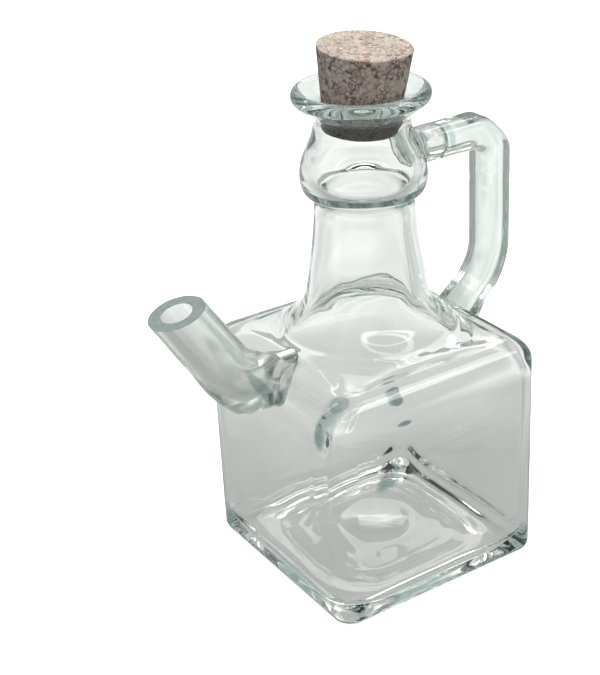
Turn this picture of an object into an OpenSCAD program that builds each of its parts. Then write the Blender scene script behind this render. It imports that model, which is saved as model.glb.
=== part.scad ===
// Square glass oil bottle with a bent pouring spout, a solid loop handle and a cork.
// Origin: centre of the base on the resting plane. +Z up, handle at +X, spout at -X.

/* [Body] */
// Width and depth of the square body
body_w = 75; // [66:1:90]
// Height of the shoulder edge above the resting plane
shoulder_z = 75.5; // [72:0.5:80]
// Radius of the four upright edges
corner_r = 6.5; // [5.5:0.5:9]
// Rounding of the edge between walls and shoulder
shoulder_r = 4.5; // [3:0.5:5]
// Rounding of the edge between walls and base
heel_r = 3; // [1:0.5:4]
// Thickness of the side walls
wall = 3; // [2:0.1:4]
// Thickness of the base next to the walls
base_t = 6; // [4:0.5:9]
// Height of the rise in the middle of the inside floor
floor_rise = 4; // [1:0.5:6]

/* [Neck] */
// Height at which the domed shoulder has turned up into the neck
neck_z = 90; // [88:0.5:92]
// Outer radius at the bottom of the neck
neck_low_r = 18.6; // [17:0.1:20]
// Outer radius of the neck just under the collar
neck_top_r = 15; // [14:0.1:16]
// Height of the step under the collar
collar_z = 121.3; // [119:0.1:123]
// Largest outer radius of the collar
collar_r = 19.2; // [18:0.1:20]
// Outer radius where the collar closes in under the lip
throat_out_r = 14.3; // [14:0.1:15]
// Glass thickness in the neck and the collar
neck_wall = 3.4; // [2.5:0.1:3.5]

/* [Lip] */
// Outer radius of the lip
lip_r = 20.4; // [19:0.1:22]
// Height of the lip's widest point
lip_z = 151; // [149:0.1:153]
// Radius of the rounded rim
rim_r = 2.3; // [1.8:0.1:2.6]
// Radius of the throat that the cork sits in
throat_r = 11.9; // [11.8:0.1:12.2]

/* [Spout] */
// Outer radius of the spout at its cut tip
spout_tip_r = 8.2; // [7:0.1:9]
// Outer radius of the spout where it starts to bend
spout_bend_r = 8.9; // [8:0.1:10]
// Radius of the gob of glass at the spout's root
spout_root_r = 12.2; // [11:0.1:13]
// Radius of the pouring bore
spout_bore_r = 4.5; // [3:0.1:5]
// Horizontal distance of the tip's centre from the bottle's axis
spout_tip_x = 64.8; // [62:0.1:68]
// Height of the tip's centre
spout_tip_z = 100.8; // [98:0.1:104]
// Slope of the straight stretch, in degrees above the horizontal
spout_slope = 57.5; // [52:0.5:62]
// Length of the straight stretch
spout_run = 24; // [20:0.5:27]
// Radius of the bend down to the wall
spout_bend = 22.7; // [20:0.1:25]
// Tilt of the cut tip away from level, in degrees
tip_tilt = 15; // [5:1:30]

/* [Handle] */
// Thickness of the glass bar
bar_t = 11; // [9:0.5:12]
// Rounding of the bar's long edges
bar_r = 3.2; // [2:0.1:4]
// Distance of the upright bar's centre from the bottle's axis
handle_x = 47.5; // [45:0.5:50]
// Height of the upper arm's centre
handle_z = 130.8; // [129:0.1:133]
// Centreline radius of the upper bend
top_bend = 7.5; // [6.5:0.5:10]
// Centreline radius of the lower bend
low_bend = 14; // [10:0.5:16]
// Height at which the lower bend starts
low_bend_z = 90; // [87:0.5:92]
// Angle of the lower bend, in degrees
low_angle = 50; // [40:1:60]
// Radius of the gob of glass at the upper root
arm_root_r = 7.6; // [6.8:0.1:8.5]
// Radius of the gob of glass at the foot
foot_root_r = 7.8; // [7:0.1:9]
// Length of the air pocket in the upper root
pocket_l = 8.5; // [4:0.5:10]
// Radius of the air pocket
pocket_r = 3.4; // [2:0.1:4]

/* [Cork] */
// Radius of the cork's upper face
cork_top_r = 13.9; // [13:0.1:14.5]
// Radius of the cork's lower face
cork_low_r = 10.8; // [10:0.1:11]
// Length of the cork
cork_l = 25; // [22:0.5:28]
// Height of the upper face's centre
cork_top_z = 165.4; // [164.5:0.1:168]
// Lean of the cork, in degrees
cork_lean = 5.3; // [0:0.1:6]
// Direction that the cork leans in, in degrees from +X
cork_lean_to = -60; // [-180:5:180]

/* [Hidden] */
$fn = 64;
half = body_w / 2;
// Height on the axis that the cork leans about
seat_z = 147;
cork_edge = 0.5;
// Radius at which the domed shoulder starts to rise, and the height it reaches at dome_mid_r
dome_r = half - shoulder_r - 1;
dome_mid_r = 25.5;
dome_mid_z = shoulder_z + 4.6;
// Horizontal centre of the elbow between the spout's straight stretch and the wall
bend_start = [-spout_tip_x + spout_run * cos(spout_slope), spout_tip_z - spout_run * sin(spout_slope)];
bend_x = bend_start[0] + spout_bend * sin(spout_slope);
bend_z = bend_start[1] + spout_bend * cos(spout_slope);
root_z = bend_z - spout_bend;
// A straight stretch runs this far into its bend, which is this much thicker all round
joint_l = 0.4;
joint_step = 0.1;
// Length of the handle's foot past its lower bend
foot_l = 9;

// Points of a cubic curve after its first one
function curve(a, b, c, d, n = 7) =
    [for (i = [1:n]) let (t = i / n, u = 1 - t) u*u*u*a + 3*u*u*t*b + 3*u*t*t*c + t*t*t*d];

// Points of an arc around c from angle a0 to a1
function arc(c, r, a0, a1, n = 8) =
    [for (i = [0:n]) let (a = a0 + (a1 - a0) * i / n) c + r * [cos(a), sin(a)]];

// Outline of the dome and the neck from the shoulder up to the collar's step, set in by t
function neck_line(t) = concat(
    curve([dome_r, shoulder_z - t], [dome_r - 4, shoulder_z + 2 - t],
          [dome_mid_r + 3, dome_mid_z - 1.3 - t], [dome_mid_r - t / 2, dome_mid_z - t]),
    curve([dome_mid_r - t / 2, dome_mid_z - t], [dome_mid_r - 3.6 - t, dome_mid_z + 1.8 - t / 2],
          [neck_low_r + 0.9 - t, neck_z - 4], [neck_low_r - t, neck_z]),
    curve([neck_low_r - t, neck_z], [neck_low_r - 1.6 - t, neck_z + 9],
          [neck_top_r + 0.2 - t, collar_z - 10], [neck_top_r - t, collar_z - 1]));

// Outline of the collar, from its step up to the throat, set in by t, and by top_t at the throat
function collar_line(t, top_t) = concat(
    curve([neck_top_r - t, collar_z - 1], [neck_top_r - t, collar_z + 0.2],
          [collar_r - 3.4 - t, collar_z - 0.4], [collar_r - 1.6 - t, collar_z + 0.7], 5),
    curve([collar_r - 1.6 - t, collar_z + 0.7], [collar_r + 0.3 - t, collar_z + 2.6],
          [collar_r + 0.3 - t, collar_z + 8], [collar_r - 1.6 - t, collar_z + 12]),
    curve([collar_r - 1.6 - t, collar_z + 12], [collar_r - 3 - t, collar_z + 15.6],
          [throat_out_r + 0.2 - top_t, collar_z + 17.5], [throat_out_r - top_t, collar_z + 21.5]));

outside = concat([[0, shoulder_z - 10], [dome_r, shoulder_z - 10], [dome_r, shoulder_z]],
    neck_line(0), collar_line(0, 0),
    curve([throat_out_r, collar_z + 21.5], [throat_out_r, lip_z - 5],
          [lip_r - 4, lip_z - 4.6], [lip_r - rim_r * 0.5, lip_z - rim_r * 0.87]),
    arc([lip_r - rim_r, lip_z], rim_r, -45, 90), [[0, lip_z + rim_r]]);

inside = concat([[0, shoulder_z - 12], [dome_r, shoulder_z - 12], [dome_r, shoulder_z - wall]],
    neck_line(wall), [[neck_top_r - neck_wall, collar_z - 1]],
    collar_line(neck_wall, throat_out_r - throat_r), [[throat_r, seat_z]],
    curve([throat_r, seat_z], [throat_r, seat_z + 2.6],
          [lip_r - rim_r - 3.4, lip_z + 0.4], [lip_r - rim_r - 0.8, lip_z + rim_r - 0.3]),
    [[lip_r - rim_r - 0.8, lip_z + rim_r + 1], [0, lip_z + rim_r + 1]]);

// Vertical outline of a block's half section: w half width, edges rounded at the foot and the top
function block_line(w, z0, z1, r0, r1) = concat([[0, z0]],
    arc([w - r0, z0 + r0], r0, -90, 0), arc([w - r1, z1 - r1], r1, 0, 90), [[0, z1]]);

// Square block with rounded upright edges, foot edges and top edges
module block(w, z0, z1, r, r0, r1) {
    for (x = [-1, 1], y = [-1, 1])
        translate([x * (w - r), y * (w - r), 0])
            rotate_extrude() polygon(block_line(r, z0, z1, r0, r1));
    for (turn = [0, 90])
        rotate([90, 0, turn])
            translate([0, 0, r - w])
                linear_extrude(2 * (w - r))
                    for (side = [0, 1]) mirror([side, 0]) polygon(block_line(w, z0, z1, r0, r1));
}

module outer_form() {
    block(half, 0, shoulder_z, corner_r, heel_r, shoulder_r);
    rotate_extrude() polygon(outside);
}

// Cavity of the body and the neck, with the floor rising towards the middle
module cavity() {
    inner_r = corner_r - wall + 0.5;
    floor_w = half - wall - 3;
    dome = (floor_w * floor_w + floor_rise * floor_rise) / (2 * floor_rise);
    difference() {
        block(half - wall, base_t, shoulder_z - wall, inner_r, inner_r - 0.2, 2.5);
        translate([0, 0, base_t + floor_rise - dome])
            sphere(dome, $fn = 96);
    }
    rotate_extrude() polygon(inside);
}

module bottle_body() {
    color([0.78, 0.86, 0.84, 0.5])
        difference() {
            outer_form();
            cavity();
            spout_bore();
        }
}

// Moves a shape drawn up +Z from the origin onto the spout's straight stretch, whose lower end
// lies joint_l inside the bend
module along_spout() {
    translate([bend_start[0], 0, bend_start[1]])
        rotate([0, spout_slope - 90, 0]) translate([0, 0, -joint_l]) children();
}

// Elbow of radius r that joins the straight stretch to the level root
module spout_elbow(r) {
    translate([bend_x, 0, bend_z])
        rotate([90, 0, 0])
            rotate([0, 0, -90 - spout_slope])
                rotate_extrude(angle = spout_slope)
                    translate([spout_bend, 0]) circle(r);
}

module spout_bore() {
    along_spout() cylinder(r = spout_bore_r, h = spout_run + 6);
    spout_elbow(spout_bore_r + joint_step);
    translate([bend_x - joint_l, 0, root_z]) rotate([0, 90, 0]) cylinder(r = spout_bore_r, h = 8);
}

module spout() {
    color([0.72, 0.82, 0.8, 0.6])
        difference() {
            union() {
                along_spout() cylinder(r1 = spout_bend_r, r2 = spout_tip_r, h = spout_run + 6);
                spout_elbow(spout_bend_r + joint_step);
                translate([0.8 - half, 0, root_z - 0.6]) sphere(spout_root_r);
            }
            outer_form();
            spout_bore();
            translate([-spout_tip_x, 0, spout_tip_z])
                rotate([0, -tip_tilt, 0]) translate([-20, -20, 0]) cube(40);
        }
}

// Section of the handle's bar, t thick
module bar(t = bar_t) {
    c = t / 2 - bar_r;
    square([t, 2 * c], center = true);
    square([2 * c, t], center = true);
    for (x = [-c, c], y = [-c, c]) translate([x, y]) circle(bar_r);
}

// Air pocket with a round end, trapped where the upper arm meets the collar
module air_pocket() {
    tube_l = collar_r + pocket_l - pocket_r;
    translate([0, 0, handle_z])
        rotate([0, 90, 0])
            rotate_extrude()
                polygon(concat([[0, 0], [pocket_r, 0]], arc([0, tube_l], pocket_r, 0, 90)));
}

module handle() {
    arm_l = handle_x - top_bend;
    bend_c = handle_x - low_bend;
    color([0.8, 0.87, 0.85, 0.6])
        difference() {
            union() {
                translate([collar_r - 3, 0, handle_z]) sphere(arm_root_r);
                translate([0, 0, handle_z]) rotate([0, 90, 0]) linear_extrude(arm_l) bar();
                translate([arm_l, 0, handle_z - top_bend])
                    rotate([90, 0, 0])
                        rotate_extrude(angle = 90) translate([top_bend, 0]) bar();
                translate([handle_x, 0, low_bend_z])
                    linear_extrude(handle_z - top_bend - low_bend_z) bar();
                translate([bend_c, 0, low_bend_z])
                    rotate([-90, 0, 0])
                        rotate_extrude(angle = low_angle) translate([low_bend, 0]) bar();
                translate([bend_c, 0, low_bend_z])
                    rotate([0, low_angle, 0])
                        translate([low_bend, 0, -foot_l])
                            linear_extrude(foot_l + joint_l) bar(bar_t - 2 * joint_step);
                translate([half - 2.5, 0, shoulder_z - 2]) sphere(foot_root_r);
            }
            outer_form();
            air_pocket();
        }
}

module cork_stopper() {
    slope = (cork_top_r - cork_low_r) / cork_l;
    color([0.72, 0.6, 0.54])
        translate([0, 0, seat_z])
            rotate([0, 0, cork_lean_to])
                rotate([0, cork_lean, 0])
                    translate([0, 0, cork_top_z - seat_z - cork_l])
                        rotate_extrude()
                            polygon([[0, 0], [cork_low_r - cork_edge, 0],
                                     [cork_low_r + slope * cork_edge, cork_edge],
                                     [cork_top_r - slope * cork_edge, cork_l - cork_edge],
                                     [cork_top_r - cork_edge, cork_l], [0, cork_l]]);
}

bottle_body();
spout();
handle();
cork_stopper();
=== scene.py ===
import math

import bmesh
import bpy
from mathutils import Matrix, Vector, noise
from mathutils.bvhtree import BVHTree


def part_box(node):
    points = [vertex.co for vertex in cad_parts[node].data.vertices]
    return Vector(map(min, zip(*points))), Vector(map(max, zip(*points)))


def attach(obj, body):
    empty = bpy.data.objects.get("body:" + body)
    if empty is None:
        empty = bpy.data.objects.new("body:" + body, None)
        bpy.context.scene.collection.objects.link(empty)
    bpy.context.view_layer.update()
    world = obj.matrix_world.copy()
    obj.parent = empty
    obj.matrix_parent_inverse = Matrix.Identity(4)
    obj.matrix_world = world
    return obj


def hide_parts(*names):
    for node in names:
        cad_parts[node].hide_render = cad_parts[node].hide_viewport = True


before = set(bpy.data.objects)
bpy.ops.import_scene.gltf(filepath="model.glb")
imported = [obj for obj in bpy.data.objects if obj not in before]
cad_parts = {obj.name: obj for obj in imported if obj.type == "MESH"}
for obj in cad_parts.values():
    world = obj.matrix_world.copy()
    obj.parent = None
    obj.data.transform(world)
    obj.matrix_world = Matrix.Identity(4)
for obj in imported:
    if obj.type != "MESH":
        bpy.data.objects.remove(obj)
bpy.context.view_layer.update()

# ---------------------------------------------------------------- sizes
# The model is drawn in seventy-fifths of the body's width, and scaled to the frame at the end.
body_low, body_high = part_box("bottle_body")
handle_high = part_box("handle")[1]
UNIT = (body_high.x - body_low.x) / 75

HALF = 37.5            # half of the body's width
SHOULDER_Z = 75.5      # top edge of the square body
CORNER_IN = 31.0       # centre of the outer rounding of the upright edges
FOOT_R = 3.0           # rounding of the outer edge underneath
EDGE_R = 7.5           # rounding of the outer edge of the shoulder
EDGE_CORNER_R = 6.2    # rounding of the shoulder's corners, in plan
PANEL_SUNK = 0.35      # how far the flat sides are sunk in their middle
PUSH_UP = 5.0          # rise of the underside in its middle

CAVITY_HALF = 35.2     # half of the cavity's width
CAVITY_IN = 30.0       # centre of the inner rounding of the upright edges
CEILING_Z = SHOULDER_Z - 2.9       # where the cavity's upper edge starts to turn down
CEILING_IN, CEILING_DOWN = 6.0, 11.0       # width and height of that edge's rounding
HEEL_R = 7.0           # rounding of the cavity's lower edge
FLOOR_Z = 2.5          # height of the cavity's floor next to its edge
FLOOR_RISE = 6.4       # rise of the floor towards its middle
FLOOR_CORNER_R = 15.0  # rounding of the floor's corners, in plan

DOME_R, DOME_Z = 25.5, 80.1        # where the shoulder has become round
NECK_LOW_R, NECK_LOW_Z = 18.6, 90.0
NECK_TOP_R = 15.0
NECK_WALL = 3.4
COLLAR_R = 19.2
COLLAR_Z = 121.3       # the step under the collar
COLLAR_TOP = COLLAR_Z + 21.5
THROAT_R, THROAT_OUT_R = 11.9, 14.3
SEAT_Z = 147.0         # where the cork touches the throat
LIP_R = 20.4
RIM_R = 2.3            # rounding of the lip's edge
LIP_TOP = body_high.z / UNIT
LIP_Z = LIP_TOP - RIM_R

HANDLE_X = handle_high.x / UNIT - 5.5      # middle of the upright bar
HANDLE_Z = handle_high.z / UNIT - 7.6      # middle of the arm
SINK = 0.3             # how far the end of a fused piece stands in the body's glass


def smooth(t):
    t = min(max(t, 0.0), 1.0)
    return t * t * (3 - 2 * t)


def lerp(a, b, t):
    return a + (b - a) * t


def curve(points, n):
    """n points of a cubic curve, without its first one."""
    a, b, c, d = [Vector(p) for p in points]
    out = []
    for i in range(1, n + 1):
        t = i / n
        u = 1 - t
        out.append(a * u**3 + b * 3 * u * u * t + c * 3 * u * t * t + d * t**3)
    return out


def arc(cx, cz, r, start, stop, n):
    """Points of an arc round (cx, cz), angles in degrees."""
    angles = [math.radians(lerp(start, stop, i / n)) for i in range(n + 1)]
    return [Vector((cx + r * math.cos(a), cz + r * math.sin(a))) for a in angles]


def new_mesh(name, bm, sharp=None):
    """Makes an object of a bmesh drawn in units, in metres."""
    bmesh.ops.recalc_face_normals(bm, faces=bm.faces)
    bmesh.ops.scale(bm, vec=(UNIT,) * 3, verts=bm.verts)
    mesh = bpy.data.meshes.new(name)
    bm.to_mesh(mesh)
    bm.free()
    mesh.polygons.foreach_set("use_smooth", [True] * len(mesh.polygons))
    if sharp is not None:
        mesh.set_sharp_from_angle(angle=math.radians(sharp))
    obj = bpy.data.objects.new(name, mesh)
    bpy.context.scene.collection.objects.link(obj)
    return obj


def join_rings(bm, low, high):
    """A band of faces between two rings of equal length."""
    n = len(low)
    for i in range(n):
        j = (i + 1) % n
        bm.faces.new((low[i], low[j], high[j], high[i]))


def loft(bm, rings):
    """Joins rings of equal length into a skin, and closes its two ends with a point each."""
    made = [[bm.verts.new(p) for p in ring] for ring in rings]
    n = len(made[0])
    for low, high in zip(made, made[1:]):
        join_rings(bm, low, high)
    for ring in (made[0], made[-1]):
        tip = bm.verts.new(sum((v.co for v in ring), Vector()) / n)
        for i in range(n):
            bm.faces.new((ring[i], ring[(i + 1) % n], tip))
    return made


# ---------------------------------------------------------------- body
SIDE_STEPS = 48
CORNER_STEPS = 24
FLAT_ANGLE = math.radians(27)      # half of the angle that a flat side takes when it turns round
SEAM_W = 0.45          # half width of the mould seam
SEAM_RISE = 0.1


def side_spots():
    """Places along one flat side, from -1 to 1, with three of them on the mould seam in the middle."""
    half_steps = SIDE_STEPS // 2
    seam = SEAM_W / CORNER_IN
    right = [lerp(seam, 1, i / (half_steps - 1)) for i in range(half_steps)]
    return [-s for s in reversed(right)] + [0.0] + right


SPOTS = side_spots()


def square_ring(w, centre, k, z):
    """Ring of half width w. Its corners are round about centre, and k turns it from square to circular."""
    points = []
    rc = w - centre
    for quarter in range(4):
        turn = Matrix.Rotation(quarter * math.pi / 2, 3, "Z")
        for spot in SPOTS[:-1]:
            a = spot * FLAT_ANGLE
            round_point = Vector((w * math.cos(a), w * math.sin(a), z))
            square_point = Vector((w, spot * centre, z))
            points.append(turn @ square_point.lerp(round_point, k))
        for i in range(CORNER_STEPS):
            t = i / CORNER_STEPS
            a = lerp(FLAT_ANGLE, math.pi / 2 - FLAT_ANGLE, t)
            b = t * math.pi / 2
            round_point = Vector((w * math.cos(a), w * math.sin(a), z))
            square_point = Vector((centre + rc * math.cos(b), centre + rc * math.sin(b), z))
            points.append(turn @ square_point.lerp(round_point, k))
    return points


def neck_stations(t):
    """Outline from the round shoulder up to the collar's step, set in by t: (radius, height)."""
    a = curve([(DOME_R - t / 2, DOME_Z - t), (DOME_R - 3.6 - t, DOME_Z + 1.8 - t / 2),
               (NECK_LOW_R + 0.9 - t, NECK_LOW_Z - 4), (NECK_LOW_R - t, NECK_LOW_Z)], 12)
    b = curve([(NECK_LOW_R - t, NECK_LOW_Z), (NECK_LOW_R - 1.6 - t, NECK_LOW_Z + 9),
               (NECK_TOP_R + 0.2 - t, COLLAR_Z - 10), (NECK_TOP_R - t, COLLAR_Z - 1)], 16)
    return a + b


def collar_stations(t, top_t):
    """Outline of the collar up to the throat, set in by t, and by top_t at its top."""
    low_r = COLLAR_R - 1.6 - t
    a = curve([(NECK_TOP_R - t, COLLAR_Z - 1), (NECK_TOP_R - t, COLLAR_Z + 0.5),
               (low_r - 1.2, COLLAR_Z - 0.6), (low_r, COLLAR_Z + 0.5)], 10)
    b = curve([(low_r, COLLAR_Z + 0.5), (low_r + 1.9, COLLAR_Z + 2.6),
               (low_r + 1.9, COLLAR_Z + 8), (low_r, COLLAR_Z + 12)], 12)
    c = curve([(low_r, COLLAR_Z + 12), (low_r - 1.4, COLLAR_Z + 15.6),
               (THROAT_OUT_R + 0.2 - top_t, COLLAR_TOP - 4), (THROAT_OUT_R - top_t, COLLAR_TOP)], 12)
    return a + b + c


def push_up(w):
    """How far the base is pushed up at half width w, as a share of its rise."""
    return 1 - smooth((w - 9) / 22)


def lip_stations():
    """Outline of the outside of the lip, from the throat out and up over the rim."""
    flare = curve([(THROAT_OUT_R, COLLAR_TOP), (THROAT_OUT_R, LIP_Z - 5),
                   (LIP_R - 4, LIP_Z - 4.6), (LIP_R - RIM_R * 0.5, LIP_Z - RIM_R * 0.87)], 12)
    return flare + arc(LIP_R - RIM_R, LIP_Z, RIM_R, -60, 90, 14)[1:]


def outer_rings():
    """Rings of the outside, from the middle of the underside up over the lip."""
    rings = []
    foot = HALF - FOOT_R
    steps = 30
    for i in range(1, steps + 1):
        s = i / steps
        k = 1 - smooth((s - 0.3) / 0.5)
        centre = CORNER_IN * s * lerp(0.72, 1, smooth(s))
        rings.append(square_ring(foot * s, centre, k, PUSH_UP * push_up(foot * s)))
    for p in arc(foot, FOOT_R, FOOT_R, -90, 0, 8)[1:]:
        rings.append(square_ring(p.x, CORNER_IN, 0, p.y))
    top = SHOULDER_Z - EDGE_R
    for i in range(1, steps):
        sunk = PANEL_SUNK * math.sin(math.pi * i / steps) ** 0.8
        rings.append(sunk_ring(HALF, CORNER_IN, lerp(FOOT_R, top, i / steps), sunk))
    for p in arc(HALF - EDGE_R, top, EDGE_R, 0, 86, 14):
        rings.append(square_ring(p.x, min(CORNER_IN, p.x - EDGE_CORNER_R), 0, p.y))
    rings += dome_rings(HALF - EDGE_R, SHOULDER_Z, EDGE_CORNER_R, 0.0)
    for p in neck_stations(0) + collar_stations(0, 0) + lip_stations():
        rings.append(square_ring(p.x, 0, 1, p.y))
    return rings


def sunk_ring(w, centre, z, depth):
    """Ring of the upright walls. Its panels are sunk by depth in their middle, and the mould seam stands out
    under the spout."""
    ring = square_ring(w, centre, 0, z)
    for p in ring:
        for axis in (0, 1):
            other = abs(p[1 - axis]) / centre
            if abs(abs(p[axis]) - w) < 1e-6 and other <= 1:
                p[axis] -= math.copysign(depth * (1 - smooth(other)), p[axis])
        if abs(p.y) < 1e-6 and p.x < 0:
            p.x -= SEAM_RISE * smooth((52 - z) / 20)
    return ring


def dome_rings(w, z, rounding, t):
    """Rings from the square shoulder edge to the round foot of the neck. The inside's are set in by t."""
    rings = []
    x, top = DOME_R - t / 2, DOME_Z - t
    if t == 0:
        path = curve([(w, z), (w - 3.6, z + 1.0), (x + 3, top - 1.3), (x, top)], 16)
    else:
        path = curve([(w, z), (w - 1.5, z + 0.5), (x + 0.8, top - 0.6), (x, top)], 12)
    for i, p in enumerate(path):
        k = smooth((i + 1) / len(path))
        rings.append(square_ring(p.x, p.x - lerp(rounding, p.x, k), k, p.y))
    return rings


def inner_outline():
    """Outline of the inside of lip, throat, collar and neck, from the lip down."""
    mouth = curve([(THROAT_R, SEAT_Z), (THROAT_R, SEAT_Z + 2.6),
                   (LIP_R - RIM_R - 3.4, LIP_Z + 0.4), (LIP_R - RIM_R - 0.8, LIP_TOP - 0.3)], 12)
    throat = curve([(THROAT_R, SEAT_Z), (THROAT_R, SEAT_Z - 1), (THROAT_R, SEAT_Z - 2),
                    (THROAT_R, COLLAR_TOP + 1)], 3)
    collar = collar_stations(NECK_WALL, THROAT_OUT_R - THROAT_R)
    shell = [p for p in reversed(collar) if p.y > COLLAR_Z + 6]
    neck_r = NECK_TOP_R - NECK_WALL
    step = curve([shell[-1], (shell[-1].x - 0.1, COLLAR_Z + 1.5), (neck_r, COLLAR_Z + 2.5),
                  (neck_r, COLLAR_Z - 4)], 16)
    neck = [p for p in reversed(neck_stations(NECK_WALL)) if p.y < COLLAR_Z - 5]
    return mouth[::-1] + [Vector((THROAT_R, SEAT_Z))] + throat + shell + step + neck


def floor_rings(edge):
    """Rings of the cavity's floor, from its edge to its middle, with low ridges next to the edge."""
    rings = []
    steps = 32
    for i in range(1, steps):
        s = 1 - i / steps
        k = 1 - smooth((s - 0.3) / 0.6)
        inwards = edge * (1 - s)
        ridge = 0.3 * math.cos(inwards * 1.1) * math.exp(-((inwards - 5) / 6) ** 2)
        z = FLOOR_Z + FLOOR_RISE * push_up(edge * s + 2.5) + ridge
        rings.append(square_ring(edge * s, (edge - FLOOR_CORNER_R) * s, k, z))
    return rings


def inner_rings():
    """Rings of the inside, from the lip down to the middle of the floor."""
    rings = [square_ring(p.x, 0, 1, p.y) for p in inner_outline()]
    low_r = CAVITY_HALF - CAVITY_IN
    top_r = low_r + 1.5
    rings += reversed(dome_rings(CAVITY_HALF - CEILING_IN, CEILING_Z, top_r, NECK_WALL))
    for p in arc(0, 0, 1, 86, 0, 22):
        x = CAVITY_HALF - CEILING_IN * (1 - p.x)
        z = CEILING_Z - CEILING_DOWN * (1 - p.y)
        rings.append(square_ring(x, x - lerp(top_r, low_r, smooth(p.x)), 0, z))
    heel_z = FLOOR_Z + HEEL_R
    steps = 36
    for i in range(1, steps):
        z = lerp(CEILING_Z - CEILING_DOWN, heel_z, i / steps)
        rings.append(square_ring(CAVITY_HALF, CAVITY_IN, 0, z))
    for p in arc(CAVITY_HALF - HEEL_R, heel_z, HEEL_R, 0, -86, 18):
        turned = smooth(1 - (p.y - FLOOR_Z) / HEEL_R)
        rings.append(square_ring(p.x, p.x - lerp(low_r, FLOOR_CORNER_R, turned), 0, p.y))
    return rings + floor_rings(CAVITY_HALF - HEEL_R)


def wave(p, size, seed):
    """Smooth noise from about -1 to 1, whose waves are size long."""
    return noise.noise(Vector((p.x / size + seed, p.y / size - seed, p.z / size + seed * 0.37)))


# Lumps on the inside of the walls: centre, half length, half width, long axis, height
LUMPS = (
    ((-32.0, -30.5, 71.5), 4.5, 2.8, (0.2, -0.2, 1.0), 0.8),
    ((-35.0, -28.0, 63.5), 6.5, 3.0, (0.1, -0.3, 1.0), 0.9),
    ((34.0, 34.0, 22.0), 3.4, 2.4, (0.0, 0.0, 1.0), 1.0),
    ((19.0, 21.5, 4.5), 12.5, 2.6, (1.0, 0.86, -0.05), 0.8),
)


def ripple_inside(verts):
    """Gives the inside of the glass the slow waves and the lumps of a blown wall. The throat stays smooth."""
    for v in verts:
        v.normal_update()
    moves = []
    for v in verts:
        p = v.co
        calm = 1 - smooth((p.z - 112) / 14)
        amount = lerp(0.3, 0.22, smooth((p.z - 68) / 12))
        d = amount * (0.85 * wave(p, 27, 3.1) + 0.15 * wave(p, 11, 8.4))
        around = math.atan2(p.y, p.x)
        upright = noise.noise(Vector((2.6 * math.cos(around), 2.6 * math.sin(around), p.z * 0.012 + 4)))
        d += 0.16 * upright * smooth((p.z - 82) / 6)
        d += 0.25 * wave(p, 16, 2.9) * (1 - smooth((p.z - 6) / 12))
        move = v.normal * (d * calm)
        for centre, long, wide, axis, height in LUMPS:
            off = p - Vector(centre)
            axis = Vector(axis).normalized()
            u = off.dot(axis)
            w = (off - axis * u).length
            reach = (u / long) ** 2 + (w / wide) ** 2
            if reach < 6:
                rough = 1 + 0.25 * wave(p, 2.2, 6.1)
                move += v.normal * (height * rough * math.exp(-reach ** 1.5))
        moves.append(move)
    for v, move in zip(verts, moves):
        v.co += move


def ripple_outside(verts):
    """Dents the outside a little, never outwards, and cuts a groove round the front of the collar's step."""
    for v in verts:
        v.normal_update()
    moves = []
    for v in verts:
        p = v.co
        amount = lerp(0.08, 0.16, smooth((p.z - 66) / 10)) * (1 - 0.7 * smooth((p.z - 136) / 8))
        moves.append(v.normal * -amount * (0.5 + 0.5 * wave(p, 12, 1.7)))
        if abs(p.z - COLLAR_Z) < 2.5:
            front = smooth(0.5 - (0.55 * p.x + 0.83 * p.y) / p.xy.length)
            groove = 0.5 * front * math.exp(-((p.z - COLLAR_Z + 0.2) / 0.8) ** 2)
            moves[-1] -= p.xy.normalized().to_3d() * groove
    for v, move in zip(verts, moves):
        v.co += move


def build_body():
    """The glass of the body: one closed skin that goes up the outside, over the lip and down the inside."""
    bm = bmesh.new()
    outside, inside = outer_rings(), inner_rings()
    made = loft(bm, outside + inside)
    bmesh.ops.recalc_face_normals(bm, faces=bm.faces)
    tips = list(bm.verts)[-2:]
    ripple_outside([v for ring in made[:len(outside)] for v in ring] + [tips[0]])
    ripple_inside([v for ring in made[len(outside):] for v in ring] + [tips[1]])
    return bm


body_bm = build_body()
body_tree = BVHTree.FromBMesh(body_bm)


def on_body(point, direction):
    """Where a ray from point meets the body, a little way into its glass."""
    direction = direction.normalized()
    hit, normal = body_tree.ray_cast(point, direction)[:2]
    return None if hit is None else hit - normal * SINK


def near_body(point):
    """The nearest point of the body's skin, a little way into its glass."""
    hit, normal = body_tree.find_nearest(point)[:2]
    return hit - normal * SINK


def settle(points, direction, centre):
    """Moves each point along direction onto the body. One that misses is drawn in to centre until it hits."""
    landed = []
    for p in points:
        for i in range(40):
            hit = on_body(p.lerp(centre, i / 40), direction)
            if hit is not None and (hit - p).length < 30:
                break
        landed.append(hit if hit is not None else p)
    return landed


# ---------------------------------------------------------------- spout
SPOUT_STEPS = 72
BORE_R = 4.5
HOLE_R = 5.0           # radius of the hole in the wall
ROOT_X = 43.5          # distance from the bottle's axis where the trumpet of its root starts
CUT_TILT = math.radians(15)
CUT_NORMAL = Vector((-math.sin(CUT_TILT), 0, math.cos(CUT_TILT)))


def spout_line():
    """Centre line of the spout, from the cut tip down into the wall: a straight stretch and a bend."""
    slope = math.radians(57.5)
    tip = Vector((-64.8, 0, 100.8))
    run, bend_r = 24.0, 22.7
    steps = 12
    down = Vector((math.cos(slope), 0, -math.sin(slope)))
    line = [tip + down * (run * i / steps) for i in range(steps + 1)]
    centre = line[-1] + Vector((math.sin(slope), 0, math.cos(slope))) * bend_r
    for i in range(1, steps + 1):
        a = lerp(slope, 0, i / steps)
        line.append(centre - Vector((math.sin(a), 0, math.cos(a))) * bend_r)
    return line


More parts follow.
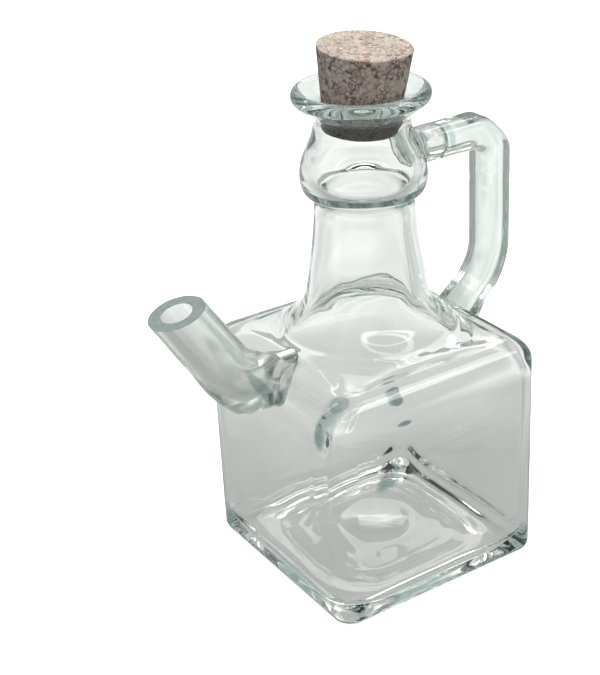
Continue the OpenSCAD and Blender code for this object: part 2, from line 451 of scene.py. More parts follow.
def radius_at(x, up):
    """Outer radius of the spout at a distance x from the bottle's axis. up is 1 on top and -1 underneath.
    Near the wall the upper half draws in to a ridge."""
    base = lerp(8.2, 8.5, smooth((64.8 - x) / 8))
    swell = lerp(3.9, 0.7, smooth((up + 0.65) / 1.1))
    ridge = 4 * up * up * (1 - up * up) if up > 0 else 0
    return (base + swell * smooth((56.5 - x) / 21) ** 1.2) * (1 - 0.08 * ridge * smooth((51 - x) / 8))


def bore_at(x):
    """Radius of the spout's bore, which opens out past its straight stretch."""
    return BORE_R + 0.3 * smooth((53.5 - x) / 15)


def cross_ring(centre, forward, radius_of):
    """Ring square to forward, which lies in the XZ plane. radius_of(angle) gives its radius."""
    side = Vector((0, 1, 0))
    up = forward.cross(side).normalized()
    ring = []
    for i in range(SPOUT_STEPS):
        a = 2 * math.pi * i / SPOUT_STEPS
        r = radius_of(a)
        ring.append(centre + side * (r * math.cos(a)) + up * (r * math.sin(a)))
    return ring


def spout_tube(points, following):
    """Rings of the tube's outside and of its bore, at points of the centre line. following comes next."""
    outer, inner = [], []
    for before, p, after in zip(points[:1] + points, points, points[1:] + [following]):
        forward = (after - before).normalized()
        reach, bore = -p.x, bore_at(-p.x)

        def wobble(a, seed):
            return 0.12 * wave(Vector((p.x * 0.3, 9 * math.cos(a), 9 * math.sin(a))), 3.3, seed)

        outer.append(cross_ring(p, forward, lambda a: radius_at(reach, math.sin(a)) + wobble(a, 2.2)))
        inner.append(cross_ring(p, forward, lambda a: bore + wobble(a, 5.9)))
    tip = points[0]
    forward = (points[1] - tip).normalized()
    for q in outer[0] + inner[0]:
        q -= forward * ((q - tip).dot(CUT_NORMAL) / forward.dot(CUT_NORMAL))
    # nothing of the straight stretch stands above the slanted cut
    for ring in outer[1:4] + inner[1:4]:
        for q in ring:
            over = (q - tip).dot(CUT_NORMAL) + 0.25
            if over > 0:
                q -= CUT_NORMAL * over
    return outer, inner


def spout_root(last, centre):
    """How far each point of the tube's last ring spreads, and where it then lands on the body."""
    root = []
    for q in last:
        off = (q - centre).normalized()
        high = max(off.z, 0)
        grown = centre + (q - centre) * (1.07 + 0.12 * high + 0.03 * abs(off.y))
        landed = settle([grown], Vector((1, 0, -0.6 * high)), centre)[0]
        root.append((grown, landed))
    return root


def flare_rings(last, root):
    """Rings that widen like a trumpet, from the tube's last ring to the body."""
    rings = []
    for s in (0.12, 0.26, 0.4, 0.54, 0.68, 0.8, 0.9, 0.96, 1.0):
        late, early = s ** 2.6, 1 - (1 - s) ** 1.7
        ring = []
        for q, (grown, landed) in zip(last, root):
            ring.append(q + (grown - q) * late + (landed - grown) * early)
        rings.append(ring)
    return rings


def build_spout():
    """A bent tube with a slanted cut, whose root rests on the body round the hole in the wall."""
    line = spout_line()
    kept = [p for p in line if p.x < -ROOT_X]
    centre = kept[-1]
    outer, inner = spout_tube(kept, line[len(kept)])
    root = spout_root(outer[-1], centre)
    outer += flare_rings(outer[-1], root)
    level = Vector((1, 0, 0))
    wall_ring = settle(cross_ring(centre, level, lambda a: HOLE_R), level, centre)
    last_bore = inner[-1]
    for s in (0.35, 0.7):
        inner.append([a.lerp(b, s) for a, b in zip(last_bore, wall_ring)])
    resting = []
    for s in (0.15, 0.3, 0.45, 0.6, 0.75, 0.88):
        resting.append([near_body(landed.lerp(low, s)) for (_, landed), low in zip(root, wall_ring)])
    # a small rounding at the outer and the inner edge of the cut
    rim_out = [q.lerp(p, 0.05) for p, q in zip(inner[0], outer[0])]
    rim_in = [q.lerp(p, 0.05) for p, q in zip(outer[0], inner[0])]
    bm = bmesh.new()
    rings = outer + resting + [wall_ring] + inner[::-1] + [rim_in, rim_out]
    made = [[bm.verts.new(p) for p in ring] for ring in rings]
    for low, high in zip(made, made[1:] + made[:1]):
        join_rings(bm, low, high)
    return bm


def wall_hole():
    """Cutter of the hole from the cavity to the spout's bore, a little wider towards the inside."""
    rings = []
    middle = spout_line()[-1].z
    steps = 56
    for x, wider in ((-39.5, 0.15), (-36.5, 0.15), (-34.5, 0.2), (-32.5, 0.3), (-30.5, 0.4), (-26.0, 0.5)):
        r = HOLE_R + wider
        ring = []
        for i in range(steps):
            a = 2 * math.pi * i / steps
            ring.append(Vector((x, r * math.cos(a), middle + r * math.sin(a))))
        rings.append(ring)
    bm = bmesh.new()
    loft(bm, rings)
    return bm


# ---------------------------------------------------------------- handle
HANDLE_STEPS = 64
BAR_HALF = 5.5         # half of the bar's thickness
BAR_R = 3.2            # rounding of its edges


def bar_ring(centre, forward, half_in, half_side, pinch):
    """Rounded square section of the bar. Its first axis points out of the loop, in the XZ plane, and pinch
    draws in the side that faces the inside of the loop."""
    side = Vector((0, 1, 0))
    out = side.cross(forward).normalized()
    points = []
    per = HANDLE_STEPS // 4
    for quarter, (sx, sy) in enumerate(((1, 1), (-1, 1), (-1, -1), (1, -1))):
        for i in range(per):
            a = math.pi / 2 * (quarter + i / (per - 1))
            u = sx * (half_in - BAR_R) + BAR_R * math.cos(a)
            v = sy * (half_side - BAR_R) + BAR_R * math.sin(a)
            if u < 0:
                u += pinch
            points.append(centre + out * u + side * v)
    return points


def handle_line():
    """Centre line of the handle from the collar to the shoulder, as (point, direction)."""
    top_bend, low_bend, low_z = 7.5, 21.0, 94.0
    arm_start, arm_end = 21.5, HANDLE_X - top_bend
    top = HANDLE_Z - top_bend
    line = []
    for i in range(12):
        line.append((Vector((lerp(arm_start, arm_end, i / 12), 0, HANDLE_Z)), Vector((1, 0, 0))))
    for i in range(13):
        a = math.pi / 2 * (1 - i / 12)
        at = Vector((arm_end + top_bend * math.cos(a), 0, top + top_bend * math.sin(a)))
        line.append((at, Vector((math.sin(a), 0, -math.cos(a)))))
    for i in range(1, 24):
        line.append((Vector((HANDLE_X, 0, lerp(top, low_z, i / 24))), Vector((0, 0, -1))))
    for i in range(17):
        a = -math.radians(50) * i / 16
        at = Vector((HANDLE_X - low_bend + low_bend * math.cos(a), 0, low_z + low_bend * math.sin(a)))
        line.append((at, Vector((math.sin(a), 0, -math.cos(a)))))
    return line


def handle_bar(line):
    """Rings of the bar. It is a little thinner along the arm, dented, and marked across its upright."""
    rings = []
    for p, d in line:
        on_arm = smooth((HANDLE_X - 3 - p.x) / 8) * smooth((p.z - 120) / 6)
        half_in = lerp(BAR_HALF, 5.15, on_arm)
        half_side = lerp(BAR_HALF, 5.3, on_arm)
        corner = max(0.0, -2 * d.x * d.z)
        mark = 0.16 * math.exp(-((p.z - 114) / 0.9) ** 2) if p.x > HANDLE_X - 1 else 0
        ring = []
        for q in bar_ring(p, d, half_in, half_side, 1.3 * corner * corner):
            dent = 0.1 + 0.1 * wave(Vector((q.x, q.y, q.z * 0.3)), 5.5, 6.6) + mark
            ring.append(q - (q - p).normalized() * dent)
        rings.append(ring)
    return rings


def arm_root(ring, start, back):
    """Rings from the end face, which lies on the collar, out to the start of the arm."""
    face = []
    for s in (0.15, 0.35, 0.55, 0.75, 0.92):
        face.append(settle([start.lerp(q, s * 1.3) for q in ring], back, start))
    spread = []
    for s in (1.0, 0.85, 0.65, 0.4, 0.2):
        grown = [start + (q - start) * (1 + 0.3 * s * s) for q in ring]
        landed = settle(grown, back, start)
        spread.append([g.lerp(h, s) for g, h in zip(grown, landed)])
    return face + spread


def bar_foot(ring, end, onward):
    """Rings from the end of the bar to the shoulder, where the glass spreads in folds, and its end face."""
    side = Vector((0, 1, 0))
    out = side.cross(onward).normalized()
    spread = []
    for s in (0.2, 0.4, 0.6, 0.8, 0.92, 1.0):
        grown = []
        for q in ring:
            u, v = (q - end).dot(out), (q - end).dot(side)
            inward = max(-u, 0) / BAR_HALF
            fold = 0.7 * inward * math.sin(v * 1.25 + 0.6)
            wide_u = u * (1 + 0.62 * inward * s * s) - fold * s * s
            wide_v = v * (1 + (0.10 + 0.24 * inward) * s * s)
            grown.append(end + out * wide_u + side * wide_v)
        landed = settle(grown, onward, end)
        spread.append([g.lerp(h, s ** 1.15) for g, h in zip(grown, landed)])
    face = []
    for s in (0.9, 0.72, 0.52, 0.32, 0.12):
        face.append(settle([end.lerp(q, s) for q in grown], onward, end))
    return spread + face


def build_handle():
    """A bent bar of glass that stands on the collar and on the shoulder, with an air pocket in its arm."""
    line = handle_line()
    rings = handle_bar(line)
    start, back = line[0][0], -line[0][1]
    end, onward = line[-1]
    bm = bmesh.new()
    loft(bm, arm_root(rings[0], start, back) + rings + bar_foot(rings[-1], end, onward))
    tips = list(bm.verts)[-2:]
    tips[0].co = settle([start], back, start)[0]
    tips[1].co = settle([end], onward, end)[0]
    add_pocket(bm)
    return bm


def add_pocket(bm):
    """Inner skin of the air pocket that is trapped in the root of the arm."""
    start = on_body(Vector((30, 0, HANDLE_Z)), Vector((-1, 0, 0))).x + 0.9
    end = start + 9.6
    steps = 40
    rings = []
    for x, r in ((start, 1.8), (start + 0.25, 2.8), (start + 0.9, 3.5), (start + 2.5, 3.8),
                 (start + 5.6, 3.9), (end - 1.2, 3.8), (end - 0.5, 3.5), (end - 0.15, 2.8), (end, 1.6)):
        slant = 0.35 if x > end - 2 else 0
        ring = []
        for i in range(steps):
            a = 2 * math.pi * i / steps
            across, up = math.cos(a), math.sin(a)
            uneven = r * (1 + 0.05 * wave(Vector((x * 0.4, 3 * across, 3 * up)), 2.0, 9.1))
            tall = 1.0304 if abs(across) < 0.9 else 0.9752
            ring.append(Vector((x - slant * up, uneven * across, HANDLE_Z + 0.4 + uneven * tall * up)))
        rings.append(ring)
    pocket = bmesh.new()
    loft(pocket, rings)
    bmesh.ops.recalc_face_normals(pocket, faces=pocket.faces)
    bmesh.ops.reverse_faces(pocket, faces=pocket.faces)
    scratch = bpy.data.meshes.new("scratch")
    pocket.to_mesh(scratch)
    pocket.free()
    bm.from_mesh(scratch)
    bpy.data.meshes.remove(scratch)


# ---------------------------------------------------------------- cork
CORK_STEPS = 120
CORK_TOP_R, CORK_LOW_R = 13.9, 10.8
CORK_LENGTH = 25.0
CORK_TOP_Z = 165.4                     # height of its top before it leans
CORK_EDGE = 0.7                        # rounding of its edges
CORK_LEAN = math.radians(5.3)
CORK_LEANS_TO = math.radians(-60)      # direction in plan that it leans to


def cork_outline():
    """Outline of the cork from the middle of its foot to the middle of its top: (radius, height)."""
    points = [(CORK_LOW_R * share, 0.0) for share in (0.25, 0.5, 0.75, 0.9)]
    points += [(CORK_LOW_R - CORK_EDGE, 0.0), (CORK_LOW_R - 0.2, 0.25), (CORK_LOW_R, CORK_EDGE)]
    high = CORK_LENGTH - CORK_EDGE
    steps = 44
    for i in range(1, steps):
        points.append((lerp(CORK_LOW_R, CORK_TOP_R, i / steps), lerp(CORK_EDGE, high, i / steps)))
    points += [(CORK_TOP_R, high), (CORK_TOP_R - 0.15, CORK_LENGTH - 0.3)]
    points += [(CORK_TOP_R - CORK_EDGE, CORK_LENGTH)]
    return points + [(CORK_TOP_R * (0.9 - 0.08 * i), CORK_LENGTH) for i in range(11)]


def build_cork():
    """A leaning cork with a grainy skin, chipped most along the edge of its top."""
    rings = []
    for r, z in cork_outline():
        ring = []
        for i in range(CORK_STEPS):
            a = 2 * math.pi * i / CORK_STEPS
            ring.append(Vector((r * math.cos(a), r * math.sin(a), z)))
        rings.append(ring)
    bm = bmesh.new()
    loft(bm, rings)
    bmesh.ops.recalc_face_normals(bm, faces=bm.faces)
    bm.normal_update()
    for v in bm.verts:
        p = v.co.copy()
        grain = abs(wave(p, 2.1, 1.3))
        chip = max(0.0, wave(p, 3.3, 7.7) - 0.32)
        near_edge = math.exp(-((p.z - CORK_LENGTH) / 1.3) ** 2) * smooth((p.xy.length - CORK_TOP_R + 2) / 1.5)
        v.co -= v.normal * (0.10 * grain + 0.5 * chip * (0.5 + 1.6 * near_edge))
    axis = Vector((-math.sin(CORK_LEANS_TO), math.cos(CORK_LEANS_TO), 0))
    to_seat = Matrix.Translation((0, 0, CORK_TOP_Z - SEAT_Z - CORK_LENGTH))
    place = Matrix.Translation((0, 0, SEAT_Z)) @ Matrix.Rotation(CORK_LEAN, 4, axis) @ to_seat
    bmesh.ops.transform(bm, matrix=place, verts=bm.verts)
    return bm


# ---------------------------------------------------------------- materials
def new_material(name):
    """A material, its nodes and links, and its main shader."""
    mat = bpy.data.materials.new(name)
    mat.use_nodes = True
    nodes, links = mat.node_tree.nodes, mat.node_tree.links
    return mat, nodes, links, nodes["Principled BSDF"]


def feed(links, value, socket):
    """Links another socket to socket, or sets a plain value."""
    if isinstance(value, (int, float, tuple)):
        socket.default_value = value
    else:
        links.new(value, socket)


def noise_value(nodes, links, place, scale, detail=2.0):
    """Smooth noise from 0 to 1."""
    texture = nodes.new("ShaderNodeTexNoise")
    texture.inputs["Scale"].default_value = scale
    texture.inputs["Detail"].default_value = detail
    links.new(place, texture.inputs["Vector"])
    return texture.outputs["Fac"]


def remap(nodes, links, value, start, end, kind="LINEAR"):
    """Turns value into a result between those of start and end, which are (value, result) pairs."""
    node = nodes.new("ShaderNodeMapRange")
    node.interpolation_type = kind
    node.inputs["From Min"].default_value, node.inputs["To Min"].default_value = start
    node.inputs["From Max"].default_value, node.inputs["To Max"].default_value = end
    links.new(value, node.inputs["Value"])
    return node.outputs["Result"]


def calculate(nodes, links, operation, *values):
    """Result of one sum on sockets and plain numbers."""
    node = nodes.new("ShaderNodeMath")
    node.operation = operation
    for value, socket in zip(values, node.inputs):
        feed(links, value, socket)
    return node.outputs["Value"]


def measure(nodes, links, operation, vector, other=None):
    """LENGTH of a vector, or its DOT_PRODUCT with another one."""
    node = nodes.new("ShaderNodeVectorMath")
    node.operation = operation
    links.new(vector, node.inputs[0])
    if other is not None:
        node.inputs[1].default_value = other
    return node.outputs["Value"]


def split_xyz(nodes, links, vector):
    """The parts of a vector, as sockets X, Y and Z."""
    node = nodes.new("ShaderNodeSeparateXYZ")
    links.new(vector, node.inputs["Vector"])
    return node.outputs


def ramp(nodes, links, value, stops, kind="LINEAR"):
    """Colour for a value. stops are (value, colour) pairs in rising order."""
    node = nodes.new("ShaderNodeValToRGB")
    node.color_ramp.interpolation = kind
    made = node.color_ramp.elements
    made[0].position, made[0].color = stops[0]
    made[1].position, made[1].color = stops[-1]
    for at, colour in stops[1:-1]:
        made.new(at).color = colour
    links.new(value, node.inputs["Fac"])
    return node.outputs["Color"]


def blend_colours(nodes, links, factor, a, b, kind="MIX"):
    """Colour a at factor 0 and b at factor 1, or a multiplied by b."""
    mix = nodes.new("ShaderNodeMix")
    mix.data_type = "RGBA"
    mix.blend_type = kind
    for value, socket in ((factor, mix.inputs["Factor"]), (a, mix.inputs[6]), (b, mix.inputs[7])):
        feed(links, value, socket)
    return mix.outputs[2]


def turned_place(nodes, links, place, centre, turn, size):
    """Coordinates in a frame at centre, turned by turn, whose unit lengths are size."""
    mapping = nodes.new("ShaderNodeMapping")
    mapping.vector_type = "TEXTURE"
    mapping.inputs["Location"].default_value = centre
    mapping.inputs["Rotation"].default_value = turn
    mapping.inputs["Scale"].default_value = size
    links.new(place, mapping.inputs["Vector"])
    return mapping.outputs["Vector"]


def glass_material(name, density, roughness=0.0, streaks=()):
    """Clear pale green-blue glass: nearly colourless at its surface, and tinted by the way that light goes
    through it. streaks are darker cords in the glass: (centre, long axis, half length, half width, shade)."""
    mat, nodes, links, shader = new_material(name)
    shader.inputs["Base Color"].default_value = (1.0, 1.0, 1.0, 1)
    shader.inputs["Transmission Weight"].default_value = 1.0
    shader.inputs["IOR"].default_value = 1.5
    shader.inputs["Roughness"].default_value = roughness
    absorb = nodes.new("ShaderNodeVolumeAbsorption")
    absorb.inputs["Color"].default_value = GLASS_TINT
    absorb.inputs["Density"].default_value = density
    links.new(absorb.outputs["Volume"], nodes["Material Output"].inputs["Volume"])
    place = nodes.new("ShaderNodeTexCoord").outputs["Object"]
    clouds = noise_value(nodes, links, place, 22)
    colour = ramp(nodes, links, clouds, ((0.35, (0.965, 0.975, 0.965, 1)), (0.65, (1.0, 1.0, 0.99, 1))))
    for streak in streaks:
        colour = add_streak(nodes, links, place, colour, *streak)
    links.new(colour, shader.inputs["Base Color"])
    return mat


def add_streak(nodes, links, place, colour, centre, axis, long, wide, shade):
    """Darkens colour to shade inside a long drop round centre, with a ragged edge."""
    turn = Vector(axis).normalized().to_track_quat("Z", "Y").to_euler()
    drop = turned_place(nodes, links, place, Vector(centre) * UNIT, turn, Vector((wide, wide, long)) * UNIT)
    ragged = noise_value(nodes, links, place, 650)
    off = calculate(nodes, links, "MULTIPLY_ADD", ragged, 0.35, measure(nodes, links, "LENGTH", drop))
    outside = remap(nodes, links, off, (1.0, 0.0), (1.22, 1.0))
    return blend_colours(nodes, links, outside, shade, colour)


def cut_material():
    """The sawn and flame-softened end of the spout: satin and grey-green."""
    mat, nodes, links, shader = new_material("spout_cut_satin")
    place = nodes.new("ShaderNodeTexCoord").outputs["Object"]
    grain = noise_value(nodes, links, place, 700)
    tone = ramp(nodes, links, grain, ((0.3, (0.20, 0.25, 0.25, 1)), (0.7, (0.27, 0.32, 0.315, 1))))
    links.new(tone, shader.inputs["Base Color"])
    shader.inputs["Roughness"].default_value = 0.42
    shader.inputs["IOR"].default_value = 1.5
    return mat


CORK_GRAIN = 900
TOP_COLOURS = (
    (0.0, (0.62, 0.54, 0.47, 1)), (0.25, (0.70, 0.63, 0.56, 1)), (0.5, (0.57, 0.48, 0.41, 1)),
    (0.72, (0.66, 0.60, 0.54, 1)), (0.90, (0.46, 0.31, 0.23, 1)), (0.96, (0.30, 0.21, 0.17, 1)))
# painted shade: the side's colours are a darker copy of the top's, over a slightly mauve-grey tone
SHADED_SIDE_COLOURS = (
    (0.0, (0.31, 0.27, 0.235, 1)), (0.25, (0.38, 0.33, 0.30, 1)), (0.5, (0.265, 0.22, 0.20, 1)),
    (0.72, (0.34, 0.30, 0.25, 1)), (0.90, (0.19, 0.12, 0.10, 1)), (0.96, (0.09, 0.085, 0.065, 1)))
TOP_CRACK = (0.40, 0.27, 0.21, 1)
# painted shade: the side's cracks are darker than the top's
SHADED_SIDE_CRACK = (0.11, 0.075, 0.065, 1)


def uneven_place(nodes, links, place):
    """place moved about by fine noise, so that the granules have uneven edges."""
    warp = nodes.new("ShaderNodeTexNoise")
    warp.inputs["Scale"].default_value = CORK_GRAIN
    links.new(place, warp.inputs["Vector"])
    bend = nodes.new("ShaderNodeVectorMath")
    bend.operation = "MULTIPLY_ADD"
    bend.inputs[1].default_value = (0.0011, 0.0011, 0.0011)
    links.new(warp.outputs["Color"], bend.inputs[0])
    links.new(place, bend.inputs[2])
    return bend.outputs["Vector"]


def granules(nodes, links, place, colours):
    """Colour of pressed granules. Each of the colours goes from its own value up to the next one's."""
    cells = nodes.new("ShaderNodeTexVoronoi")
    cells.inputs["Scale"].default_value = CORK_GRAIN
    links.new(place, cells.inputs["Vector"])
    separate = nodes.new("ShaderNodeSeparateColor")
    links.new(cells.outputs["Color"], separate.inputs["Color"])
    return ramp(nodes, links, separate.outputs["Red"], colours, "CONSTANT")


def whole_cork(nodes, links, place, uneven):
    """0 in the cracks between granules and 1 on the cork. Some patches have no cracks."""
    cracks = nodes.new("ShaderNodeTexVoronoi")
    cracks.feature = "DISTANCE_TO_EDGE"
    cracks.inputs["Scale"].default_value = 620
    links.new(uneven, cracks.inputs["Vector"])
    off_crack = remap(nodes, links, cracks.outputs["Distance"], (0.02, 0.0), (0.09, 1.0))
    patch = remap(nodes, links, noise_value(nodes, links, place, 260), (0.48, 0.0), (0.56, 1.0))
    return calculate(nodes, links, "MAXIMUM", off_crack, patch)


def cork_material():
    """Pressed cork: a pale top with rusty flecks, a mauve-grey side in painted shade with dark cracks, a
    darker foot.
    """
    mat, nodes, links, shader = new_material("cork_granules")
    place = nodes.new("ShaderNodeTexCoord").outputs["Object"]
    uneven = uneven_place(nodes, links, place)
    top = granules(nodes, links, uneven, TOP_COLOURS)
    side = granules(nodes, links, uneven, SHADED_SIDE_COLOURS)
    normal = nodes.new("ShaderNodeNewGeometry").outputs["Normal"]
    # painted shade: faces that turn from up to the side take the darker side colours
    unshaded_top = remap(nodes, links, split_xyz(nodes, links, normal)["Z"], (0.35, 0.0), (0.75, 1.0))
    colour = blend_colours(nodes, links, unshaded_top, side, top)
    whole = whole_cork(nodes, links, place, uneven)
    crack = blend_colours(nodes, links, unshaded_top, SHADED_SIDE_CRACK, TOP_CRACK)
    cracked = blend_colours(nodes, links, whole, crack, colour)
    fine = noise_value(nodes, links, place, 2200, 3)
    tone = remap(nodes, links, fine, (0.3, 0.78), (0.7, 1.15))
    toned = blend_colours(nodes, links, 1.0, cracked, tone, "MULTIPLY")
    # the cork is darker towards its foot, where it sits in the throat
    height = split_xyz(nodes, links, place)["Z"]
    foot_darkening = remap(nodes, links, height, (147.5 * UNIT, 0.42), (151.0 * UNIT, 1.0))
    darkened_foot = blend_colours(nodes, links, 1.0, toned, foot_darkening, "MULTIPLY")
    links.new(darkened_foot, shader.inputs["Base Color"])
    shader.inputs["Roughness"].default_value = 0.9
    shader.inputs["Specular IOR Level"].default_value = 0.2
    bump = nodes.new("ShaderNodeBump")
    bump.inputs["Strength"].default_value = 0.6
    bump.inputs["Distance"].default_value = 0.0003
    links.new(calculate(nodes, links, "ADD", fine, whole), bump.inputs["Height"])
    links.new(bump.outputs["Normal"], shader.inputs["Normal"])
    return mat


# ---------------------------------------------------------------- pieces
def place_piece(obj, body, node, mat):
    """Gives a piece its material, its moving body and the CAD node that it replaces."""
    obj.data.materials.clear()
    obj.data.materials.append(mat)
    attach(obj, body)
    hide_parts(node)


def cut_hole(body):
    """Takes the hole that leads to the spout out of the wall."""
    cutter = new_mesh("cutter", wall_hole())
    cut = body.modifiers.new("hole", "BOOLEAN")
    cut.operation = "DIFFERENCE"
    cut.solver = "EXACT"
    cut.object = cutter
    graph = bpy.context.evaluated_depsgraph_get()
    holed = bpy.data.meshes.new_from_object(body.evaluated_get(graph))
    body.modifiers.clear()
    body.data = holed
    bpy.data.objects.remove(cutter)
    holed.polygons.foreach_set("use_smooth", [True] * len(holed.polygons))
    holed.set_sharp_from_angle(angle=math.radians(40))


def mark_cut(spout):
    """Gives the faces of the slanted cut the spout's second material."""
    spout.data.materials.append(cut_material())
    for face in spout.data.polygons:
        if face.normal.dot(CUT_NORMAL) > 0.97 and face.center.z > 95 * UNIT:
            face.material_index = 1


GLASS_TINT = (0.50, 0.66, 0.635, 1)
DENSITY = 14.0         # absorption of the glass
# Two darker cords near the front corner, one in the back corner, one on the floor, and the lip's tint
BODY_STREAKS = (
    ((-32.5, -31.0, 73.0), (0.25, -0.25, 1.0), 5.5, 3.0, (0.48, 0.57, 0.56, 1)),
    ((-35.0, -28.0, 64.5), (0.1, -0.3, 1.0), 7.5, 3.5, (0.38, 0.50, 0.48, 1)),
    ((34.0, 34.0, 22.0), (0.0, 0.0, 1.0), 4.2, 3.4, (0.28, 0.38, 0.37, 1)),
    ((19.0, 21.5, 4.5), (1.0, 0.86, -0.05), 12.5, 3.2, (0.36, 0.48, 0.46, 1)),
    ((0.0, 0.0, LIP_Z - 1.5), (0.0, 0.0, 1.0), 4.2, 25.0, (0.86, 0.92, 0.905, 1)),
)
SPOUT_STREAKS = (((-43.8, -8.9, 72.8), (0.53, -0.04, -0.85), 9.5, 2.0, (0.30, 0.42, 0.40, 1)),)
HANDLE_STREAKS = (((29.0, 0.0, HANDLE_Z + 1.0), (1.0, 0.0, 0.2), 2.2, 6.5, (0.45, 0.56, 0.54, 1)),)
body_glass = glass_material("body_glass_clear", DENSITY, streaks=BODY_STREAKS)
spout_glass = glass_material("spout_glass_drawn", DENSITY * 1.5, roughness=0.16, streaks=SPOUT_STREAKS)
handle_glass = glass_material("handle_glass_clear", DENSITY * 1.9, streaks=HANDLE_STREAKS)

spout = new_mesh("spout_glass", build_spout(), sharp=35)
handle = new_mesh("handle_glass", build_handle())
cork = new_mesh("cork_agglomerate", build_cork(), sharp=60)
body = new_mesh("body_glass", body_bm)
cut_hole(body)

place_piece(body, "bottle", "bottle_body", body_glass)
place_piece(spout, "bottle", "spout", spout_glass)
mark_cut(spout)
place_piece(handle, "bottle", "handle", handle_glass)
place_piece(cork, "stopper", "cork_stopper", cork_material())


# ---------------------------------------------------------------- studio
FLOOR_SIZE = 3000.0


def emission(nodes, links, colour, strength):
    """A glow of its own."""
    node = nodes.new("ShaderNodeEmission")
    node.inputs["Color"].default_value = colour
    feed(links, strength, node.inputs["Strength"])
    return node.outputs["Emission"]


def paper_sweep(nodes, links, place):
    """Strength of the light on the paper behind the bottle: a lane that gets brighter towards the back."""
    turn = (0, 0, math.radians(-33.5))
    lane_place = split_xyz(nodes, links, turned_place(nodes, links, place, (0, 0, 0), turn, (1, 1, 1)))
    off_lane = calculate(nodes, links, "ABSOLUTE", lane_place["X"])
    lane = remap(nodes, links, off_lane, (0.08, 1.0), (0.26, 0.8), "SMOOTHSTEP")
    spread = remap(nodes, links, lane_place["Y"], (-0.03, 0.46), (0.27, 1.08), "SMOOTHSTEP")
    drift = noise_value(nodes, links, place, 14, 1)
    soft = remap(nodes, links, drift, (0.3, 0.86), (0.7, 1.1))
    level = calculate(nodes, links, "MULTIPLY", lane, spread)
    return calculate(nodes, links, "MULTIPLY", level, soft)


def build_floor():
    """Pale paper. What the glass shows of it has a sweep of light of its own."""
    bm = bmesh.new()
    bmesh.ops.create_grid(bm, x_segments=2, y_segments=2, size=FLOOR_SIZE / 2)
    floor = new_mesh("floor", bm)
    mat, nodes, links, shader = new_material("floor_paper")
    shader.inputs["Roughness"].default_value = 0.8
    shader.inputs["Specular IOR Level"].default_value = 0.0
    shader.inputs["Base Color"].default_value = (0.9, 0.9, 0.9, 1)
    add = nodes.new("ShaderNodeAddShader")
    links.new(shader.outputs["BSDF"], add.inputs[0])
    links.new(emission(nodes, links, (1, 1, 1, 1), 0.55), add.inputs[1])
    place = nodes.new("ShaderNodeTexCoord").outputs["Object"]
    behind = emission(nodes, links, (0.985, 1.0, 0.98, 1), paper_sweep(nodes, links, place))
    path = nodes.new("ShaderNodeLightPath")
    choose = nodes.new("ShaderNodeMixShader")
    links.new(path.outputs["Is Camera Ray"], choose.inputs["Fac"])
    links.new(behind, choose.inputs[1])
    links.new(add.outputs["Shader"], choose.inputs[2])
    links.new(choose.outputs["Shader"], nodes["Material Output"].inputs["Surface"])
    floor.data.materials.append(mat)


def build_world():
    """Soft studio: a bright ceiling, and darker bands and cards that draw the edges of the glass."""
    world = bpy.data.worlds.new("studio")
    bpy.context.scene.world = world
    world.use_nodes = True
    nodes, links = world.node_tree.nodes, world.node_tree.links
    nodes.clear()
    output = nodes.new("ShaderNodeOutputWorld")
    place = nodes.new("ShaderNodeTexCoord").outputs["Generated"]
    stops = [(0.0, (0.55, 0.56, 0.56, 1))]
    for at, grey in ((0.12, 0.7), (0.28, 0.52), (0.45, 0.7), (0.6, 0.84)):
        stops.append((at, (grey, grey, grey * 0.985, 1)))
    stops.append((1.0, (0.82, 0.82, 0.80, 1)))
    bands = ramp(nodes, links, split_xyz(nodes, links, place)["Z"], stops)
    cards = remap(nodes, links, noise_value(nodes, links, place, 1.6, 1.0), (0.40, 0.7), (0.60, 1.12))
    room = nodes.new("ShaderNodeBackground")
    links.new(blend_colours(nodes, links, 1.0, bands, cards, "MULTIPLY"), room.inputs["Color"])
    links.new(ring_of_light(nodes, links, place), room.inputs["Strength"])
    white = nodes.new("ShaderNodeBackground")
    white.inputs["Color"].default_value = (1, 1, 1, 1)
    path = nodes.new("ShaderNodeLightPath")
    plain = calculate(nodes, links, "MAXIMUM", path.outputs["Is Camera Ray"], path.outputs["Is Diffuse Ray"])
    choose = nodes.new("ShaderNodeMixShader")
    links.new(plain, choose.inputs["Fac"])
    links.new(room.outputs["Background"], choose.inputs[1])
    links.new(white.outputs["Background"], choose.inputs[2])
    links.new(choose.outputs["Shader"], output.inputs["Surface"])


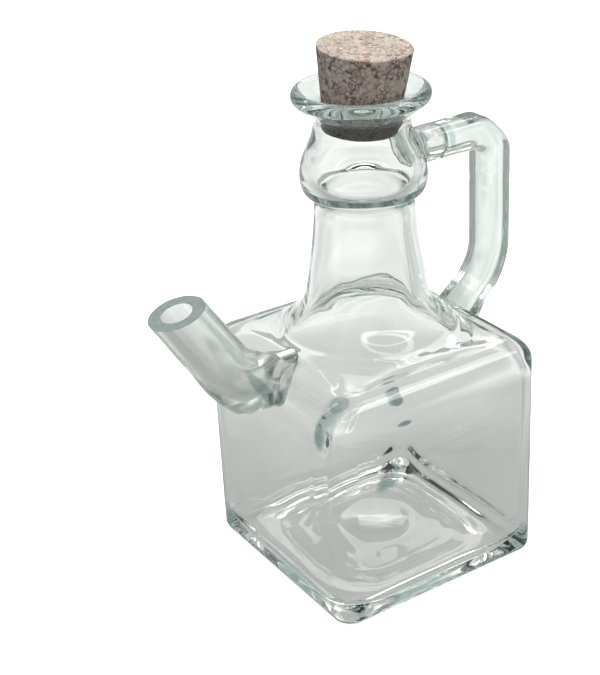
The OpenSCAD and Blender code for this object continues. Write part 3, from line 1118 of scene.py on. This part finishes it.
def ring_of_light(nodes, links, place):
    """Strength of the room: 1, and more in a ring that stands for a ring lamp, high up in front."""
    azimuth, height = math.radians(-88), math.radians(50)
    level = math.cos(height)
    lamp = Vector((math.cos(azimuth) * level, math.sin(azimuth) * level, math.sin(height)))
    side = lamp.cross(Vector((0, 0, 1))).normalized()
    above = side.cross(lamp)
    half_width, half_height = 0.62, 0.33
    joined = nodes.new("ShaderNodeCombineXYZ")
    links.new(measure(nodes, links, "DOT_PRODUCT", place, side / half_width), joined.inputs["X"])
    links.new(measure(nodes, links, "DOT_PRODUCT", place, above / half_height), joined.inputs["Y"])
    off = measure(nodes, links, "LENGTH", joined.outputs["Vector"])
    black, white = (0, 0, 0, 1), (1, 1, 1, 1)
    stops = ((0.72, black), (0.78, white), (0.92, white), (0.98, black))
    ring = ramp(nodes, links, off, stops, "EASE")
    facing = measure(nodes, links, "DOT_PRODUCT", place, lamp)
    front = calculate(nodes, links, "GREATER_THAN", facing, 0.5)
    lit = calculate(nodes, links, "MULTIPLY", ring, front)
    return calculate(nodes, links, "MULTIPLY_ADD", lit, 7.0, 1.0)


def add_light(name, at, towards, width, height, watts):
    """A soft lamp, placed in metres."""
    data = bpy.data.lights.new(name, "AREA")
    data.shape = "RECTANGLE"
    data.size = width
    data.size_y = height
    data.energy = watts
    light = bpy.data.objects.new(name, data)
    light.location = at
    light.rotation_euler = (Vector(towards) - Vector(at)).to_track_quat("-Z", "Y").to_euler()
    bpy.context.scene.collection.objects.link(light)


def build_camera():
    """Camera in front of the bottle, on the spout's side, that looks down at its middle."""
    yaw, pitch, roll = math.radians(-33.46), math.radians(26.85), math.radians(-2.26)
    distance = 465.6 * UNIT
    ahead = Vector((-math.sin(yaw) * math.cos(pitch), math.cos(yaw) * math.cos(pitch), -math.sin(pitch)))
    aim = Vector((-6.07, 4.05, 73.1)) * UNIT
    right = ahead.cross(Vector((0, 0, 1))).normalized()
    up = right.cross(ahead)
    c, s = math.cos(roll), math.sin(roll)
    right, up = right * c + up * s, up * c - right * s
    data = bpy.data.cameras.new("camera")
    data.lens = 80.435
    data.sensor_width = 36
    data.shift_x = -0.0667
    data.clip_start = 0.01
    data.clip_end = 50
    camera = bpy.data.objects.new("camera", data)
    turn = Matrix((right, up, -ahead)).transposed()
    camera.matrix_world = Matrix.Translation(aim - ahead * distance) @ turn.to_4x4()
    bpy.context.scene.collection.objects.link(camera)
    bpy.context.scene.camera = camera


BOUNCES = 24           # enough for light that is caught in the thick glass

build_floor()
build_world()
add_light("window", (0.9, 1.1, 1.3), (0, 0, 0.09), 0.9, 0.6, 6)
build_camera()

scene = bpy.context.scene
scene.view_settings.view_transform = "Standard"
scene.view_settings.look = "None"
scene.cycles.max_bounces = BOUNCES
scene.cycles.transmission_bounces = BOUNCES
scene.cycles.glossy_bounces = BOUNCES
